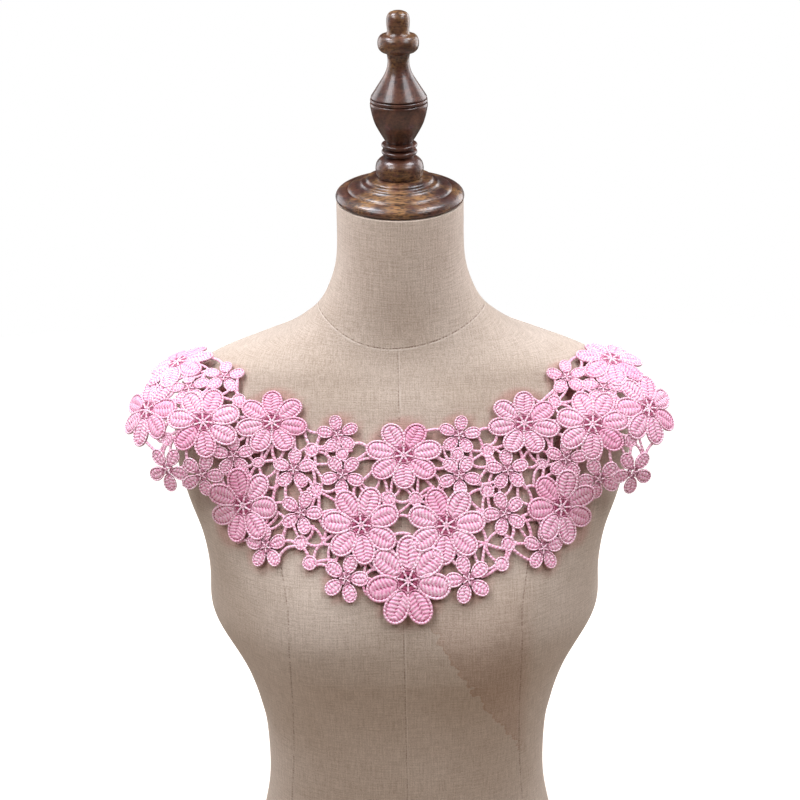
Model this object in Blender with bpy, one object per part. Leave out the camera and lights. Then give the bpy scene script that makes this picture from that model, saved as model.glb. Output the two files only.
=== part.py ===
# A guipure lace collar laid over a linen dress form with a turned wooden neck top.
# Metres, +Z up, the front faces -Y. The origin is the middle of the form's flat base.
# Lengths in the tables are millimetres, and MM turns them to metres.

import bpy
import bmesh
import numpy as np
from collections import Counter
from math import atan2, cos, degrees, pi, radians, sin, tan
from mathutils import Matrix, Vector
from mathutils.bvhtree import BVHTree
from mathutils.geometry import delaunay_2d_cdt

MM = 0.001

# Dress form: one row for each horizontal section, from the base up.
# half: half width; front, back: reach from the axis; square: superellipse power;
# tilt: degrees that the section leans down to the front.
FORM_COLUMNS = ("height", "half", "front", "back", "square", "tilt")
FORM_SECTIONS = (
    (0.0, 158.0, 104.0, 108.0, 2.3, 0.0),
    (60.0, 145.0, 100.0, 107.0, 2.3, 0.0),
    (124.0, 128.8, 92.0, 92.0, 2.2, 0.0),
    (170.0, 120.5, 87.0, 82.0, 2.2, 0.0),
    (221.0, 121.0, 90.0, 82.0, 2.2, 0.0),
    (252.0, 126.5, 96.0, 86.0, 2.2, 0.0),
    (276.0, 132.3, 103.0, 90.0, 2.2, 0.0),
    (297.0, 137.3, 110.0, 95.0, 2.2, 0.0),
    (315.0, 141.8, 115.0, 98.0, 2.2, 0.0),
    (343.0, 151.2, 116.5, 101.0, 2.2, 0.0),
    (376.0, 160.3, 110.0, 103.0, 2.25, 0.0),
    (404.0, 167.2, 100.5, 104.0, 2.3, 0.0),
    (432.0, 176.8, 90.0, 104.0, 2.35, 0.0),
    (465.0, 185.0, 78.0, 103.0, 2.35, 0.0),
    (495.0, 185.0, 67.0, 101.0, 2.3, 0.0),
    (518.0, 180.5, 59.5, 97.0, 2.2, 1.0),
    (533.0, 171.0, 54.5, 94.0, 2.1, 3.0),
    (544.0, 156.0, 51.5, 91.0, 2.05, 5.0),
    (554.0, 128.0, 49.0, 87.0, 2.0, 7.0),
    (562.0, 102.5, 47.5, 83.0, 2.0, 8.5),
    (571.0, 84.5, 46.5, 78.0, 2.0, 10.5),
    (583.0, 69.0, 46.0, 72.0, 2.0, 12.0),
    (600.0, 58.0, 46.5, 64.0, 2.0, 13.5),
    (625.0, 50.5, 48.0, 55.0, 2.0, 14.5),
    (667.2, 49.5, 49.5, 49.5, 2.0, 14.5),
)
FORM_POINTS = 40           # points round a section
FORM_STEPS = 2             # rings for each row of the table
BUST = {"across": 82.0, "height": 345.0, "proud": 16.0, "wide": 46.0, "tall": 58.0}
# the sides swell as well, most at this turn from the centre front, in degrees
FLANK = {"turn": 88.0, "height": 331.0, "proud": 13.0, "wide": 39.0, "tall": 34.0}

# Neck top: the cap and the finial are turned on one axis that leans to the front.
NECK_LEAN = 14.5           # degrees
CAP_CENTRE = (0.0, 0.0, 670.0)
SEAT_GAP = 0.3             # between pieces that sit on each other
# radius and height along the leaning axis, outer side from the top down
CAP_PROFILE = (
    (19.0, 15.6), (25.4, 14.4), (26.2, 12.6), (29.8, 11.6), (30.6, 10.2), (39.6, 7.2),
    (40.6, 5.9), (41.8, 6.4), (46.0, 5.0), (48.8, 3.2), (50.0, 0.8), (49.7, -1.0),
    (48.4, -2.4),
)
CAP_SEGMENTS = 44
FINIAL_PROFILE = (
    (3.5, 138.2), (6.4, 136.9), (8.2, 134.1), (8.5, 129.7), (8.5, 122.4),
    (12.6, 121.4), (14.7, 118.8), (15.2, 115.4), (14.5, 112.0), (12.2, 109.6), (8.9, 108.6),
    (8.3, 106.4), (8.0, 104.6), (8.1, 101.0), (8.9, 97.0), (10.8, 92.6), (13.7, 88.0),
    (17.0, 83.0), (19.8, 78.6), (21.4, 75.2), (21.0, 74.0), (20.2, 73.5), (21.4, 72.9),
    (21.7, 71.2), (21.0, 66.4), (19.9, 61.6), (18.3, 56.8), (16.0, 52.2), (13.3, 47.6),
    (10.6, 43.2), (9.9, 42.4), (13.3, 41.2), (13.6, 39.6), (12.0, 38.0), (10.6, 37.2),
    (13.2, 36.0), (13.6, 34.4), (12.0, 32.6), (10.4, 31.6), (14.6, 29.6), (17.6, 26.4),
    (18.5, 22.6), (18.3, 18.6), (17.4, 15.6 + SEAT_GAP),
)
FINIAL_SEGMENTS = 26


# Collar. It is laid on the form as a sheet over a plane that leans back.
DRAPE = {"lean": 45.0, "middle": (0.0, 0.0, 480.0), "across": (-252.0, 252.1),
         "up": (-190.0, 114.1), "step": 4.0, "far": 300.0, "clear": 1.6, "rounds": 40}
SHOULDER_CAP = {"centre": (150.0, 2.0, 468.0), "radii": (80.0, 74.0, 80.0)}

COLLAR = {"wall": 1.5, "crown": 0.9, "bar": 2.0, "bar_reach": 13.0, "bar_long": 15.0,
          "bar_apart": 4.6, "bar_root": 2.2, "gap_area": 9.0, "gap_width": 2.4, "trim": 0.22}
# It lies a little askew: moved across, sheared across as it goes up, and turned.
ASKEW = {"move": -5.0, "shear": -0.048, "turn": -0.016}
# A petal by its number on the flower, in parts of the flower's radius.
PETAL_COLUMNS = ("petals", "root", "half_width", "points")
PETAL_SHAPES = ((7, 0.24, 0.285, 14), (5, 0.20, 0.30, 12))
# Motifs on the wearer's right half, which is mirrored. across and up are places in the
# leaning plane, petals is 0 for a disc or a knot of bars, tall is height over width, and
# turn is where the first petal points.
MOTIF_COLUMNS = ("across", "up", "petals", "radius", "tall", "turn")
MIDDLE_MOTIFS = (
    (3.0, -51.0, 7, 29.5, 0.88, -90.0),
    (1.0, -137.0, 7, 32.5, 1.06, 90.0),
)
SIDE_MOTIFS = (
    (-32.0, -99.0, 7, 30.0, 1.0, 18.0),
    (-96.0, -26.0, 7, 28.5, 0.86, 88.0),
    (-148.0, -28.5, 7, 28.0, 0.95, 18.0),
    (-121.5, -79.5, 7, 28.5, 1.06, 90.0),
    (-170.5, 29.0, 7, 28.0, 1.0, 64.0),
    (-193.0, -12.0, 7, 28.0, 1.0, 40.0),
    (-132.5, 10.0, 5, 16.5, 0.92, 86.0),
    (-159.0, -0.5, 5, 16.0, 0.95, 95.0),
    (-46.0, -36.5, 5, 16.5, 0.9, 96.0),
    (-44.0, -64.5, 5, 17.0, 0.95, 120.0),
    (-81.0, -59.0, 5, 17.0, 0.93, 81.0),
    (-127.0, -49.5, 5, 16.5, 0.93, 100.0),
    (-77.0, -89.0, 5, 17.0, 1.0, 66.0),
    (-105.0, -109.5, 5, 17.0, 1.04, 84.0),
    (-46.0, -136.0, 5, 17.5, 1.06, 70.0),
    (-151.5, -62.0, 5, 16.5, 1.04, 66.0),
    (-178.0, -56.5, 5, 17.0, 1.05, 114.0),
    (-121.0, -10.0, 0, 5.5, 1.0, 0.0),
    (-176.0, -38.0, 0, 5.5, 1.0, 0.0),
    (-108.0, -53.0, 0, 5.0, 0.8, 0.0),
    (-66.5, -46.5, 0, 5.5, 1.0, 0.0),
    (-43.5, -50.0, 0, 5.0, 1.0, 0.0),
    (-64.5, -74.0, 0, 5.5, 1.0, 0.0),
    (-78.0, -110.0, 0, 5.7, 1.0, 0.0),
    (-72.0, -124.5, 0, 5.7, 1.0, 0.0),
    (-10.0, -81.0, 0, 5.5, 1.0, 0.0),
    (-61.0, -111.0, 0, 1.5, 1.0, 0.0),
    (-13.0, -98.0, 0, 1.5, 1.0, 0.0),
    (-24.0, -76.0, 0, 1.5, 1.0, 0.0),
    (-95.0, -70.0, 0, 1.5, 1.0, 0.0),
)
DISC_POINTS = 10
HEART_OVER = 0.12          # how far a flower's heart runs under its petals
CROWN_AT = 0.62            # where a petal is thickest

def smooth_rows(rows, steps):
    """Rows between the table's own, on a Catmull-Rom curve through them."""
    table = np.array(rows, dtype=float)
    ends = np.vstack((2 * table[0] - table[1], table, 2 * table[-1] - table[-2]))
    out = []
    for i in range(len(table) - 1):
        a, b, c, d = ends[i:i + 4]
        for k in range(steps):
            u = k / steps
            out.append(0.5 * (2 * b + (c - a) * u + (2 * a - 5 * b + 4 * c - d) * u * u
                              + (3 * b - a - 3 * c + d) * u ** 3))
    out.append(table[-1])
    return [dict(zip(FORM_COLUMNS, row)) for row in out]


def section_point(row, angle):
    """A point of one section; angle 0 is the centre front, and 90 degrees is at +X."""
    power = 2.0 / row["square"]
    side, ahead = sin(angle), cos(angle)
    reach = row["front"] if ahead > 0 else row["back"]
    x = row["half"] * abs(side) ** power * (1 if side > 0 else -1)
    y = -reach * abs(ahead) ** power * (1 if ahead > 0 else -1)
    turn = degrees(atan2(abs(side), ahead))
    swell = ((turn - FLANK["turn"]) / FLANK["wide"]) ** 2
    swell += ((row["height"] - FLANK["height"]) / FLANK["tall"]) ** 2
    flank = FLANK["proud"] * np.exp(-swell) * (1 if side > 0 else -1)
    if ahead > 0:
        swell = ((abs(x) - BUST["across"]) / BUST["wide"]) ** 2
        swell += ((row["height"] - BUST["height"]) / BUST["tall"]) ** 2
        y -= BUST["proud"] * np.exp(-swell) * ahead ** 0.5
    middle = (row["back"] - row["front"]) / 2
    z = row["height"] + (y - middle) * tan(radians(row["tilt"]))
    return Vector((x + flank, y, z))


def form_rings():
    rows = smooth_rows(FORM_SECTIONS, FORM_STEPS)
    turns = [2 * pi * k / FORM_POINTS for k in range(FORM_POINTS)]
    return [[section_point(row, turn) for turn in turns] for row in rows]


def form_tree(rings):
    """The form's side surface, for finding where the collar lies on it."""
    points = [point for ring in rings for point in ring]
    quads = []
    for low in range(0, len(points) - FORM_POINTS, FORM_POINTS):
        for k in range(FORM_POINTS):
            m = (k + 1) % FORM_POINTS
            quads.append((low + k, low + m, low + m + FORM_POINTS, low + k + FORM_POINTS))
    return BVHTree.FromPolygons(points, quads)


class Drape:
    """The collar's back as a height over a plane that leans back from the form's front.

    across runs to +X, up runs up and back in the plane, out is the way that it faces.
    """

    def __init__(self, tree):
        lean = radians(DRAPE["lean"])
        self.middle = np.array(DRAPE["middle"])
        self.axes = np.array([(1, 0, 0), (0, sin(lean), cos(lean)), (0, -cos(lean), sin(lean))])
        self.across = np.arange(*DRAPE["across"], DRAPE["step"])
        self.up = np.arange(*DRAPE["up"], DRAPE["step"])
        floor = np.array([[self.reach(tree, a, u) for a in self.across] for u in self.up])
        self.height = floor
        for _ in range(DRAPE["rounds"]):
            near = np.pad(self.height, 1, "edge")
            rows = (near[:-2] + 2 * near[1:-1] + near[2:]) / 4
            self.height = np.maximum((rows[:, :-2] + 2 * rows[:, 1:-1] + rows[:, 2:]) / 4, floor)

    def reach(self, tree, across, up):
        """How far out the form, or the cap of lace past its shoulder, stands."""
        x, t, out = self.axes
        start = self.middle + across * x + up * t + DRAPE["far"] * out
        place, normal, _, _ = tree.ray_cast(Vector(start), Vector(-out))
        best = -DRAPE["far"] / 2
        if place is not None:
            slope = max(0.3, normal.dot(Vector(out)))
            best = (np.array(place) - self.middle) @ out + DRAPE["clear"] / slope
        centre = np.array(SHOULDER_CAP["centre"]) * (1 if across > 0 else -1, 1, 1)
        radii = np.array(SHOULDER_CAP["radii"])
        p, d = (start - centre) / radii, -out / radii
        a, b, c = d @ d, p @ d, p @ p - 1
        if b * b > a * c:
            best = max(best, DRAPE["far"] - (-b - (b * b - a * c) ** 0.5) / a)
        return best

    def sample(self, grid, chart):
        """A value between the grid's nodes."""
        a = (chart[:, 0] - self.across[0]) / DRAPE["step"]
        u = (chart[:, 1] - self.up[0]) / DRAPE["step"]
        i = np.clip(a.astype(int), 0, len(self.across) - 2)
        j = np.clip(u.astype(int), 0, len(self.up) - 2)
        fa, fu = a - i, u - j
        low = grid[j, i] * (1 - fa) + grid[j, i + 1] * fa
        high = grid[j + 1, i] * (1 - fa) + grid[j + 1, i + 1] * fa
        return low * (1 - fu) + high * fu

    def surface(self, chart):
        """Points and outward normals of the collar's back at places in the plane."""
        x, t, out = self.axes
        slope_up, slope_across = np.gradient(self.height, DRAPE["step"])
        height = self.sample(self.height, chart)
        points = self.middle + np.outer(chart[:, 0], x) + np.outer(chart[:, 1], t)
        points = points + np.outer(height, out)
        normals = out - np.outer(self.sample(slope_across, chart), x)
        normals = normals - np.outer(self.sample(slope_up, chart), t)
        return points, normals / np.linalg.norm(normals, axis=1)[:, None]

    def flatten(self, points):
        return (points - self.middle) @ self.axes[:2].T

    def lay(self, place, shape):
        """A flat shape laid on the surface round a place, true to size there."""
        centre, normal = self.surface(np.array([place]))
        centre, normal = centre[0], normal[0]
        side = np.cross(self.axes[1], normal)
        side /= np.linalg.norm(side)
        above = np.cross(normal, side)
        flat = centre + np.outer(shape[:, 0], side) + np.outer(shape[:, 1], above)
        laid = flat
        for _ in range(5):
            points, _ = self.surface(self.flatten(laid))
            laid = flat + np.outer((points - flat) @ normal, normal)
        return self.flatten(laid)


def motifs():
    """Every motif of both halves, as a dictionary by the table's columns."""
    rows = [dict(zip(MOTIF_COLUMNS, row)) for row in MIDDLE_MOTIFS + SIDE_MOTIFS]
    for row in rows[len(MIDDLE_MOTIFS):]:
        rows.append(dict(row, across=-row["across"], turn=180.0 - row["turn"]))
    for row in rows:
        across, up = row["across"], row["up"]
        row["place"] = (across + ASKEW["move"] + ASKEW["shear"] * up, up + ASKEW["turn"] * across)
    return rows


def petal_outlines(motif):
    """The closed outlines that a motif is the union of, flat round its own middle."""
    radius = motif["radius"] * np.array((1.0, motif["tall"]))
    if not motif["petals"]:
        turns = np.arange(DISC_POINTS) * 2 * pi / DISC_POINTS
        return [radius * np.column_stack((np.cos(turns), np.sin(turns)))], []
    shape = next(dict(zip(PETAL_COLUMNS, row)) for row in PETAL_SHAPES
                 if row[0] == motif["petals"])
    turns = np.arange(shape["points"]) * 2 * pi / shape["points"]
    along = shape["root"] + (1 - shape["root"]) * (1 - np.cos(turns)) / 2
    aside = -shape["half_width"] * np.sin(turns) * (0.86 + 0.22 * along)
    outlines, crowns = [], []
    for k in range(motif["petals"]):
        way = radians(motif["turn"]) + 2 * pi * k / motif["petals"]
        ahead, left = np.array((cos(way), sin(way))), np.array((-sin(way), cos(way)))
        outlines.append(radius * (np.outer(along, ahead) + np.outer(aside, left)))
        crowns.append(radius * CROWN_AT * ahead)
    heart = np.arange(2 * motif["petals"]) * pi / motif["petals"]
    reach = radius * (shape["root"] + HEART_OVER)
    outlines.append(reach * np.column_stack((np.cos(heart), np.sin(heart))))
    return outlines, crowns


def inside(points, loop):
    """Which points are within a closed outline."""
    x, y = points[:, 0, None], points[:, 1, None]
    x0, y0 = loop[:, 0], loop[:, 1]
    x1, y1 = np.roll(x0, -1), np.roll(y0, -1)
    with np.errstate(divide="ignore", invalid="ignore"):
        meets = x0 + (y - y0) * (x1 - x0) / (y1 - y0)
    rises = (y0 > y) != (y1 > y)
    return np.count_nonzero(rises & (x < meets), axis=1) % 2 > 0


def thread_bars(laid, drape):
    """Bars of thread that tie each motif to its neighbours, by their two ends."""
    points = [np.vstack(loops) for loops in laid]
    lows = [p.min(axis=0) - COLLAR["bar_reach"] for p in points]
    highs = [p.max(axis=0) for p in points]
    ends = []
    for i, a in enumerate(points):
        for j in range(i + 1, len(points)):
            b = points[j]
            if np.any(lows[i] > highs[j]) or np.any(lows[j] > highs[i]):
                continue
            far = np.linalg.norm(a[:, None] - b[None], axis=2)
            for m, n in enumerate(far.argmin(axis=1)):
                if far[m, n] < COLLAR["bar_reach"]:
                    ends.append((a[m], b[n]))
    ends = np.array(ends)
    middles = ends.mean(axis=1)
    run = drape.surface(ends[:, 0])[0] - drape.surface(ends[:, 1])[0]
    free = np.linalg.norm(run, axis=1) < COLLAR["bar_long"]
    for loops in laid:
        for loop in loops:
            free &= ~inside(middles, loop)
    order = np.argsort(np.linalg.norm(ends[:, 0] - ends[:, 1], axis=1), kind="stable")
    chosen = []
    for k in order[free[order]]:
        near = np.linalg.norm(middles[chosen] - middles[k], axis=1)
        if not chosen or near.min() > COLLAR["bar_apart"]:
            chosen.append(k)
    return ends[chosen]


def bar_outline(a, b):
    """A bar's outline; its ends run a little into the motifs that it ties."""
    along = (b - a) / max(np.linalg.norm(b - a), 0.001)
    aside = np.array((-along[1], along[0])) * COLLAR["bar"] / 2
    a, b = a - along * COLLAR["bar_root"], b + along * COLLAR["bar_root"]
    return np.array((a + aside, a - aside, b - aside, b + aside))


def union_loops(outlines):
    """The edge loops of the union of overlapping outlines."""
    points = [Vector(p) for loop in outlines for p in loop]
    faces, start = [], 0
    for loop in outlines:
        faces.append(list(range(start, start + len(loop))))
        start += len(loop)
    points, _, triangles, _, _, owners = delaunay_2d_cdt(points, [], faces, 1, 0.001, True)
    border = {}
    for triangle, owner in zip(triangles, owners):
        if owner:
            for k in range(3):
                edge = (triangle[k], triangle[(k + 1) % 3])
                if (edge[1], edge[0]) in border:
                    del border[edge[1], edge[0]]
                else:
                    border[edge] = True
    after = {}
    for a, b in border:
        after.setdefault(a, []).append(b)
    loops = []
    while after:
        first = next(iter(after))
        loop, here = [first], after[first].pop()
        while here != first:
            loop.append(here)
            here = after[here].pop()
        after = {a: ends for a, ends in after.items() if ends}
        loops.append(loop)
    return [parted(loop, loops, points) for loop in loops]


def parted(loop, loops, points):
    """A loop's points, drawn off any corner that it shares with another or itself."""
    uses = Counter(k for other in loops for k in other)
    line = np.array([tuple(points[k]) for k in loop])
    between = (np.roll(line, 1, 0) + np.roll(line, -1, 0)) / 2
    shared = np.array([uses[k] > 1 for k in loop])[:, None]
    return np.where(shared, line + 0.1 * (between - line), line)


def area(loop):
    x, y = loop[:, 0], loop[:, 1]
    return 0.5 * float(np.sum(x * np.roll(y, -1) - y * np.roll(x, -1)))


def trimmed(loop):
    """The loop without the points that its shape doesn't need."""
    keep = list(range(len(loop)))
    while len(keep) > 4:
        points = loop[keep]
        before, behind = np.roll(points, 1, 0), np.roll(points, -1, 0)
        run = behind - before
        cross = run[:, 0] * (points - before)[:, 1] - run[:, 1] * (points - before)[:, 0]
        proud = np.abs(cross) / np.maximum(np.linalg.norm(run, axis=1), 0.001)
        k = int(np.argmin(proud))
        if proud[k] > COLLAR["trim"]:
            break
        del keep[k]
    return loop[keep]


def collar_layout(drape):
    """The collar's edge loops in the plane, its petals' crowns and its flowers' hearts."""
    laid, crowns, hearts = [], [], []
    for motif in motifs():
        outlines, tops = petal_outlines(motif)
        laid.append([drape.lay(motif["place"], outline) for outline in outlines])
        if tops:
            crowns.extend(drape.lay(motif["place"], np.array(tops)))
            hearts.append(np.array(motif["place"]))
    bars = thread_bars(laid, drape)
    outlines = [loop for one in laid for loop in one] + [bar_outline(a, b) for a, b in bars]
    loops = []
    for loop in union_loops(outlines):
        size = abs(area(loop))
        edge = np.sum(np.linalg.norm(loop - np.roll(loop, 1, 0), axis=1))
        if size > COLLAR["gap_area"] and 4 * size / edge > COLLAR["gap_width"]:
            loops.append(trimmed(loop))
    return loops, crowns, hearts


def lace_collar(drape, thread):
    loops, crowns, hearts = collar_layout(drape)
    points, edges = [], []
    for loop in loops:
        start = len(points)
        points.extend(loop)
        edges.extend((start + k, start + (k + 1) % len(loop)) for k in range(len(loop)))
    crowned = range(len(points), len(points) + len(crowns))
    points.extend(crowns + hearts)
    flat, _, triangles, sources, _, _ = delaunay_2d_cdt(
        [Vector(p) for p in points], edges, [], 0, 0.001, True)
    flat = np.array([tuple(p) for p in flat])
    middles = np.array([flat[list(triangle)].mean(axis=0) for triangle in triangles])
    solid = sum(inside(middles, loop).astype(int) for loop in loops) % 2
    kept = [triangle for triangle, filled in zip(triangles, solid) if filled]
    back, normals = drape.surface(flat)
    raised = np.array([any(k in crowned for k in source) for source in sources])
    thick = COLLAR["wall"] + COLLAR["crown"] * raised
    front = back + normals * thick[:, None]
    bm = bmesh.new()
    low = [bm.verts.new(p) for p in back]
    high = [bm.verts.new(p) for p in front]
    border = {}
    for a, b, c in kept:
        bm.faces.new((high[a], high[b], high[c]))
        bm.faces.new((low[c], low[b], low[a]))
        for edge in ((a, b), (b, c), (c, a)):
            border[edge] = True
    for a, b in border:
        if (b, a) not in border:
            bm.faces.new((high[b], high[a], low[a], low[b]))
    loose = [vert for vert in bm.verts if not vert.link_faces]
    bmesh.ops.delete(bm, geom=loose, context="VERTS")
    print("collar:", len(loops), "edge loops,", len(bm.faces), "faces")
    return add_object("lace_collar", bm, thread)


def material(name, colour, roughness):
    mat = bpy.data.materials.new(name)
    mat.use_nodes = True
    shader = mat.node_tree.nodes["Principled BSDF"]
    shader.inputs["Base Color"].default_value = (*colour, 1.0)
    shader.inputs["Roughness"].default_value = roughness
    return mat


def add_object(name, bm, mat):
    """A finished piece from a bmesh in millimetres."""
    bmesh.ops.scale(bm, vec=(MM, MM, MM), verts=bm.verts)
    bmesh.ops.recalc_face_normals(bm, faces=bm.faces)
    mesh = bpy.data.meshes.new(name)
    bm.to_mesh(mesh)
    bm.free()
    mesh.materials.append(mat)
    mesh.shade_smooth()
    mesh.set_sharp_from_angle(angle=radians(40))
    piece = bpy.data.objects.new(name, mesh)
    bpy.context.scene.collection.objects.link(piece)
    return piece


def dress_form(rings, linen):
    bm = bmesh.new()
    loops = [[bm.verts.new(p) for p in ring] for ring in rings]
    for low, high in zip(loops, loops[1:]):
        for k in range(FORM_POINTS):
            m = (k + 1) % FORM_POINTS
            bm.faces.new((low[k], low[m], high[m], high[k]))
    bm.faces.new(loops[0])
    bm.faces.new(loops[-1])
    return add_object("dress_form", bm, linen)


def turned(name, profile, segments, mat):
    """A turned piece on the neck's leaning axis, closed by a flat face at each end."""
    bm = bmesh.new()
    points = [bm.verts.new((radius, 0.0, height)) for radius, height in profile]
    edges = [bm.edges.new(pair) for pair in zip(points, points[1:])]
    bmesh.ops.spin(bm, geom=points + edges, axis=(0, 0, 1), cent=(0, 0, 0),
                   angle=2 * pi, steps=segments, use_merge=True)
    bmesh.ops.remove_doubles(bm, verts=bm.verts, dist=0.001)
    rims = [edge for edge in bm.edges if edge.is_boundary]
    bmesh.ops.holes_fill(bm, edges=rims)
    lean = Matrix.Translation(CAP_CENTRE) @ Matrix.Rotation(radians(NECK_LEAN), 4, "X")
    bmesh.ops.transform(bm, matrix=lean, verts=bm.verts)
    return add_object(name, bm, mat)


def main():
    for old in list(bpy.data.objects):
        bpy.data.objects.remove(old)
    linen = material("linen", (0.66, 0.58, 0.49), 0.9)
    thread = material("pink_embroidery_thread", (0.85, 0.42, 0.58), 0.6)
    walnut = material("stained_walnut", (0.13, 0.045, 0.025), 0.35)
    rings = form_rings()
    dress_form(rings, linen)
    lace_collar(Drape(form_tree(rings)), thread)
    turned("neck_cap", CAP_PROFILE, CAP_SEGMENTS, walnut)
    turned("finial", FINIAL_PROFILE, FINIAL_SEGMENTS, walnut)


main()
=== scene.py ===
# Pink guipure lace collar laid over a linen dress form with a turned walnut neck cap and finial.
# Shapes are in millimetres, and mm turns them to metres. +Z is up and the form faces -Y.

import bmesh
import bpy
import numpy as np
from functools import partial
from math import atan2, cos, degrees, pi, radians, sin, tan
from mathutils import Matrix, Vector
from mathutils.bvhtree import BVHTree


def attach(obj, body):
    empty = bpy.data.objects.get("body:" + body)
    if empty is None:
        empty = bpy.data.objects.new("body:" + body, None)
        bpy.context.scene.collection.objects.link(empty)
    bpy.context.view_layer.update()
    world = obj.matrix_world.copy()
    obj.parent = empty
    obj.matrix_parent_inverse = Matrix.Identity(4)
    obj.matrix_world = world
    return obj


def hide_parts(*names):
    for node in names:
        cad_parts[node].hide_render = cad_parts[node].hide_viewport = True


mm = 0.001
mergeDistance = 0.001  # mm between points that are joined
sharpAngle = radians(50)  # edges that turn more than this stay sharp
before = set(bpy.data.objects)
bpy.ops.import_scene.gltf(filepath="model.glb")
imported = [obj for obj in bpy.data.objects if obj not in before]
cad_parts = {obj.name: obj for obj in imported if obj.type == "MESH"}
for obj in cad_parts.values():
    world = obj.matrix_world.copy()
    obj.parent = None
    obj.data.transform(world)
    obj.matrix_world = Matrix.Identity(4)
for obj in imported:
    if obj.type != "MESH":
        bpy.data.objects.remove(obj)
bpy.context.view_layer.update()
luck = np.random.default_rng(7)  # small differences between petals, the same each run
print("frame loaded")

# settings that many nodes share
plus, minus = {"operation": "ADD"}, {"operation": "SUBTRACT"}
times, timesPlus = {"operation": "MULTIPLY"}, {"operation": "MULTIPLY_ADD"}
larger, unsigned, sine = {"operation": "MAXIMUM"}, {"operation": "ABSOLUTE"}, {"operation": "SINE"}
mixValue, mixColour = {"data_type": "FLOAT"}, {"data_type": "RGBA"}
tintColour = {"data_type": "RGBA", "blend_type": "MULTIPLY"}


def colour(code):
    # sRGB hex to linear
    parts = [int(code[k:k + 2], 16) / 255 for k in (1, 3, 5)]
    return tuple(c / 12.92 if c <= 0.04045 else ((c + 0.055) / 1.055) ** 2.4 for c in parts)


def rgba(code):
    return (*colour(code), 1.0)


def perMetre(size):
    # how often a pattern comes in a metre, from its size in mm, one for all ways or one for each
    return 1 / (np.array(size) * mm)


def setInputs(made, *values, **named):
    # values fill a node's inputs in order or by name; a node given as a value gives its output
    inputs = [socket for socket in made.inputs if socket.enabled]
    pairs = list(zip(inputs, values))
    pairs += [(made.inputs[name.replace("_", " ")], value) for name, value in named.items()]
    for socket, value in pairs:
        if isinstance(value, bpy.types.Node):
            value = next(output for output in value.outputs if output.enabled)
        if isinstance(value, bpy.types.NodeSocket):
            made.id_data.links.new(value, socket)
        else:
            socket.default_value = value
    return made


def addNode(tree, kind, settings=None, *values, **named):
    # adds a node with its settings and links; a ramp's stops are places with their colours
    made = tree.nodes.new("ShaderNode" + kind)
    for name, value in (settings or {}).items():
        if name == "stops":
            stops = made.color_ramp.elements
            for place, code in value[1:-1]:
                stops.new(place).color = rgba(code)
            for k in (0, -1):
                stops[k].position, stops[k].color = value[k][0], rgba(value[k][1])
        else:
            setattr(made, name, value)
    return setInputs(made, *values, **named)


def newMaterial(name):
    # the material, what adds a node to it, and its shader
    made = bpy.data.materials.new(name)
    made.use_nodes = True
    tree = made.node_tree
    return made, partial(addNode, tree), tree.nodes["Principled BSDF"]


def meshFrom(name, bm):
    mesh = bpy.data.meshes.new(name)
    bm.to_mesh(mesh)
    bm.free()
    return mesh


def addObject(name, data):
    made = bpy.data.objects.new(name, data)
    bpy.context.scene.collection.objects.link(made)
    return made


def closeShell(bm):
    # joins what meets, fills open ends and turns every face outwards
    bmesh.ops.remove_doubles(bm, verts=bm.verts, dist=mergeDistance)
    bmesh.ops.holes_fill(bm, edges=[edge for edge in bm.edges if edge.is_boundary])
    bmesh.ops.recalc_face_normals(bm, faces=bm.faces)


def finishPiece(name, bm, material):
    # bmesh in millimetres to a piece that rides on the form
    bmesh.ops.scale(bm, vec=(mm, mm, mm), verts=bm.verts)
    mesh = meshFrom(name, bm)
    mesh.shade_smooth()
    mesh.materials.append(material)
    piece = addObject(name, mesh)
    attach(piece, "root")
    print(name, len(mesh.polygons), "faces")
    return piece


def gridParts(bm, across, up, layers):
    # a flat grid as arrays: its vertices and where each is, 0 to 1, in both directions
    for name in layers:
        bm.verts.layers.float.new(name)
    bmesh.ops.create_grid(bm, x_segments=across, y_segments=up, size=0.5)
    places = np.array([vert.co for vert in bm.verts])
    return list(bm.verts), places[:, 0] + 0.5, places[:, 1] + 0.5


def refined(grid, steps):
    # more rows between a grid's own, on Catmull-Rom curves through them
    padded = np.concatenate((2 * grid[:1] - grid[1:2], grid, 2 * grid[-1:] - grid[-2:-1]))
    a, b, c, d = (padded[k:len(padded) - 3 + k, None] for k in range(4))
    u = (np.arange(steps) / steps)[None, :, None]
    rows = 0.5 * (2 * b + (c - a) * u + (2 * a - 5 * b + 4 * c - d) * u ** 2
                  + (3 * b - a - 3 * c + d) * u ** 3)
    return np.concatenate((rows.reshape(-1, grid.shape[1]), grid[-1:]))


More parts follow.
